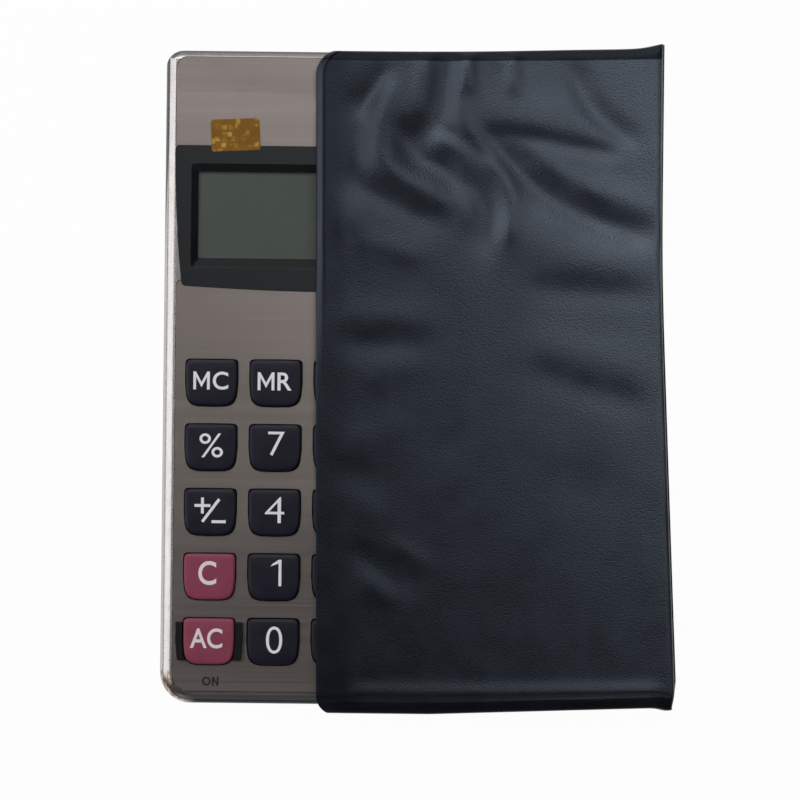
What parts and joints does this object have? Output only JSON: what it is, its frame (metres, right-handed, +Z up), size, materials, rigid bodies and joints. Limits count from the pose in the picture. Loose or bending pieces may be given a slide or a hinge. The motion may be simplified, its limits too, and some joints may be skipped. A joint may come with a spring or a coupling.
{
  "type": "pocket calculator with slip sleeve",
  "caption": "Slim pocket calculator with metal face plates, display, small solar cell and rubber-sprung keys, partly drawn out of a soft vinyl slip sleeve.",
  "frame": {"origin": "middle of the underside of the calculator and sleeve together, on the surface that they lie on, with the sleeve drawn part way off", "axes": "+X to the right across the keyboard, towards the sleeve's closed end; +Y along the calculator towards its display end; +Z up, out of the keyboard"},
  "size_m": [0.0992, 0.1298, 0.0117],
  "materials": {
    "rear_plastic": "fine satin grain",
    "silver_rim": "glossy silver plating on plastic",
    "black_frame": "satin black",
    "face_plate": "brushed across, champagne silver",
    "bezel_black": "gloss black",
    "clear_window": "clear acrylic",
    "polariser": "grey-green film",
    "display_glass": "clear glass",
    "reflector": "matt silver film",
    "zebra_rubber": "layered silicone",
    "board_green": "green solder mask",
    "epoxy_black": "cured epoxy",
    "capacitor_tan": "plain ceramic",
    "mat_rubber": "matt silicone",
    "solar_glass": "clear cover",
    "solar_dark": "dark amorphous silicon strips",
    "lead_copper": "bare tinned wire",
    "cell_steel": "plated steel can",
    "contact_spring": "spring strip",
    "screw_steel": "zinc plated",
    "gold_foil": "gold foil with a square pattern",
    "navy_key": "satin navy",
    "maroon_key": "satin maroon",
    "sleeve_vinyl": "soft vinyl with fine leather grain"
  },
  "bodies": {
    "calculator": {"rear_case": "rear_plastic", "front_rim": "silver_rim", "key_frame": "black_frame", "upper_plate": "face_plate", "lower_plate": "face_plate", "display_bezel": "bezel_black", "display_window": "clear_window", "lcd_polariser": "polariser", "lcd_glass": "display_glass", "lcd_reflector": "reflector", "zebra_strip": "zebra_rubber", "circuit_board": "board_green", "chip_cover": "epoxy_black", "chip_capacitors": "capacitor_tan", "key_mat": "mat_rubber", "solar_window": "solar_glass", "solar_cell": "solar_dark", "solar_leads": "lead_copper", "button_cell": "cell_steel", "battery_minus_contact": "contact_spring", "battery_plus_contact": "contact_spring", "case_screws": "screw_steel", "foil_sticker": "gold_foil"},
    "sleeve": {"sleeve_front": "sleeve_vinyl", "sleeve_back": "sleeve_vinyl"},
    "key_mc": {"key_mc": "navy_key"},
    "key_mr": {"key_mr": "navy_key"},
    "key_m_minus": {"key_m_minus": "navy_key"},
    "key_m_plus": {"key_m_plus": "navy_key"},
    "key_root": {"key_root": "navy_key"},
    "key_percent": {"key_percent": "navy_key"},
    "key_7": {"key_7": "navy_key"},
    "key_8": {"key_8": "navy_key"},
    "key_9": {"key_9": "navy_key"},
    "key_divide": {"key_divide": "navy_key"},
    "key_sign": {"key_sign": "navy_key"},
    "key_4": {"key_4": "navy_key"},
    "key_5": {"key_5": "navy_key"},
    "key_6": {"key_6": "navy_key"},
    "key_multiply": {"key_multiply": "navy_key"},
    "key_c": {"key_c": "maroon_key"},
    "key_1": {"key_1": "navy_key"},
    "key_2": {"key_2": "navy_key"},
    "key_3": {"key_3": "navy_key"},
    "key_minus": {"key_minus": "navy_key"},
    "key_ac": {"key_ac": "maroon_key"},
    "key_0": {"key_0": "navy_key"},
    "key_point": {"key_point": "navy_key"},
    "key_equals": {"key_equals": "navy_key"},
    "key_plus": {"key_plus": "navy_key"}
  },
  "joints": [
    {"name": "sleeve_slide", "type": "slide", "parent": "calculator", "child": "sleeve", "axis": [1, 0, 0], "range_m": [-0.027, 0.045]},
    {"name": "key_mc_press", "type": "slide", "parent": "calculator", "child": "key_mc", "axis": [0, 0, -1], "range_m": [0, 0.0009], "stiffness_N_per_m": 700, "springref_m": -0.0005, "deforming": ["key_mat"]},
    {"name": "key_mr_press", "type": "slide", "parent": "calculator", "child": "key_mr", "axis": [0, 0, -1], "range_m": [0, 0.0009], "stiffness_N_per_m": 700, "springref_m": -0.0005, "deforming": ["key_mat"]},
    {"name": "key_m_minus_press", "type": "slide", "parent": "calculator", "child": "key_m_minus", "axis": [0, 0, -1], "range_m": [0, 0.0009], "stiffness_N_per_m": 700, "springref_m": -0.0005, "deforming": ["key_mat"]},
    {"name": "key_m_plus_press", "type": "slide", "parent": "calculator", "child": "key_m_plus", "axis": [0, 0, -1], "range_m": [0, 0.0009], "stiffness_N_per_m": 700, "springref_m": -0.0005, "deforming": ["key_mat"]},
    {"name": "key_root_press", "type": "slide", "parent": "calculator", "child": "key_root", "axis": [0, 0, -1], "range_m": [0, 0.0009], "stiffness_N_per_m": 700, "springref_m": -0.0005, "deforming": ["key_mat"]},
    {"name": "key_percent_press", "type": "slide", "parent": "calculator", "child": "key_percent", "axis": [0, 0, -1], "range_m": [0, 0.0009], "stiffness_N_per_m": 700, "springref_m": -0.0005, "deforming": ["key_mat"]},
    {"name": "key_7_press", "type": "slide", "parent": "calculator", "child": "key_7", "axis": [0, 0, -1], "range_m": [0, 0.0009], "stiffness_N_per_m": 700, "springref_m": -0.0005, "deforming": ["key_mat"]},
    {"name": "key_8_press", "type": "slide", "parent": "calculator", "child": "key_8", "axis": [0, 0, -1], "range_m": [0, 0.0009], "stiffness_N_per_m": 700, "springref_m": -0.0005, "deforming": ["key_mat"]},
    {"name": "key_9_press", "type": "slide", "parent": "calculator", "child": "key_9", "axis": [0, 0, -1], "range_m": [0, 0.0009], "stiffness_N_per_m": 700, "springref_m": -0.0005, "deforming": ["key_mat"]},
    {"name": "key_divide_press", "type": "slide", "parent": "calculator", "child": "key_divide", "axis": [0, 0, -1], "range_m": [0, 0.0009], "stiffness_N_per_m": 700, "springref_m": -0.0005, "deforming": ["key_mat"]},
    {"name": "key_sign_press", "type": "slide", "parent": "calculator", "child": "key_sign", "axis": [0, 0, -1], "range_m": [0, 0.0009], "stiffness_N_per_m": 700, "springref_m": -0.0005, "deforming": ["key_mat"]},
    {"name": "key_4_press", "type": "slide", "parent": "calculator", "child": "key_4", "axis": [0, 0, -1], "range_m": [0, 0.0009], "stiffness_N_per_m": 700, "springref_m": -0.0005, "deforming": ["key_mat"]},
    {"name": "key_5_press", "type": "slide", "parent": "calculator", "child": "key_5", "axis": [0, 0, -1], "range_m": [0, 0.0009], "stiffness_N_per_m": 700, "springref_m": -0.0005, "deforming": ["key_mat"]},
    {"name": "key_6_press", "type": "slide", "parent": "calculator", "child": "key_6", "axis": [0, 0, -1], "range_m": [0, 0.0009], "stiffness_N_per_m": 700, "springref_m": -0.0005, "deforming": ["key_mat"]},
    {"name": "key_multiply_press", "type": "slide", "parent": "calculator", "child": "key_multiply", "axis": [0, 0, -1], "range_m": [0, 0.0009], "stiffness_N_per_m": 700, "springref_m": -0.0005, "deforming": ["key_mat"]},
    {"name": "key_c_press", "type": "slide", "parent": "calculator", "child": "key_c", "axis": [0, 0, -1], "range_m": [0, 0.0009], "stiffness_N_per_m": 700, "springref_m": -0.0005, "deforming": ["key_mat"]},
    {"name": "key_1_press", "type": "slide", "parent": "calculator", "child": "key_1", "axis": [0, 0, -1], "range_m": [0, 0.0009], "stiffness_N_per_m": 700, "springref_m": -0.0005, "deforming": ["key_mat"]},
    {"name": "key_2_press", "type": "slide", "parent": "calculator", "child": "key_2", "axis": [0, 0, -1], "range_m": [0, 0.0009], "stiffness_N_per_m": 700, "springref_m": -0.0005, "deforming": ["key_mat"]},
    {"name": "key_3_press", "type": "slide", "parent": "calculator", "child": "key_3", "axis": [0, 0, -1], "range_m": [0, 0.0009], "stiffness_N_per_m": 700, "springref_m": -0.0005, "deforming": ["key_mat"]},
    {"name": "key_minus_press", "type": "slide", "parent": "calculator", "child": "key_minus", "axis": [0, 0, -1], "range_m": [0, 0.0009], "stiffness_N_per_m": 700, "springref_m": -0.0005, "deforming": ["key_mat"]},
    {"name": "key_ac_press", "type": "slide", "parent": "calculator", "child": "key_ac", "axis": [0, 0, -1], "range_m": [0, 0.0009], "stiffness_N_per_m": 700, "springref_m": -0.0005, "deforming": ["key_mat"]},
    {"name": "key_0_press", "type": "slide", "parent": "calculator", "child": "key_0", "axis": [0, 0, -1], "range_m": [0, 0.0009], "stiffness_N_per_m": 700, "springref_m": -0.0005, "deforming": ["key_mat"]},
    {"name": "key_point_press", "type": "slide", "parent": "calculator", "child": "key_point", "axis": [0, 0, -1], "range_m": [0, 0.0009], "stiffness_N_per_m": 700, "springref_m": -0.0005, "deforming": ["key_mat"]},
    {"name": "key_equals_press", "type": "slide", "parent": "calculator", "child": "key_equals", "axis": [0, 0, -1], "range_m": [0, 0.0009], "stiffness_N_per_m": 700, "springref_m": -0.0005, "deforming": ["key_mat"]},
    {"name": "key_plus_press", "type": "slide", "parent": "calculator", "child": "key_plus", "axis": [0, 0, -1], "range_m": [0, 0.0009], "stiffness_N_per_m": 700, "springref_m": -0.0005, "deforming": ["key_mat"]}
  ]
}
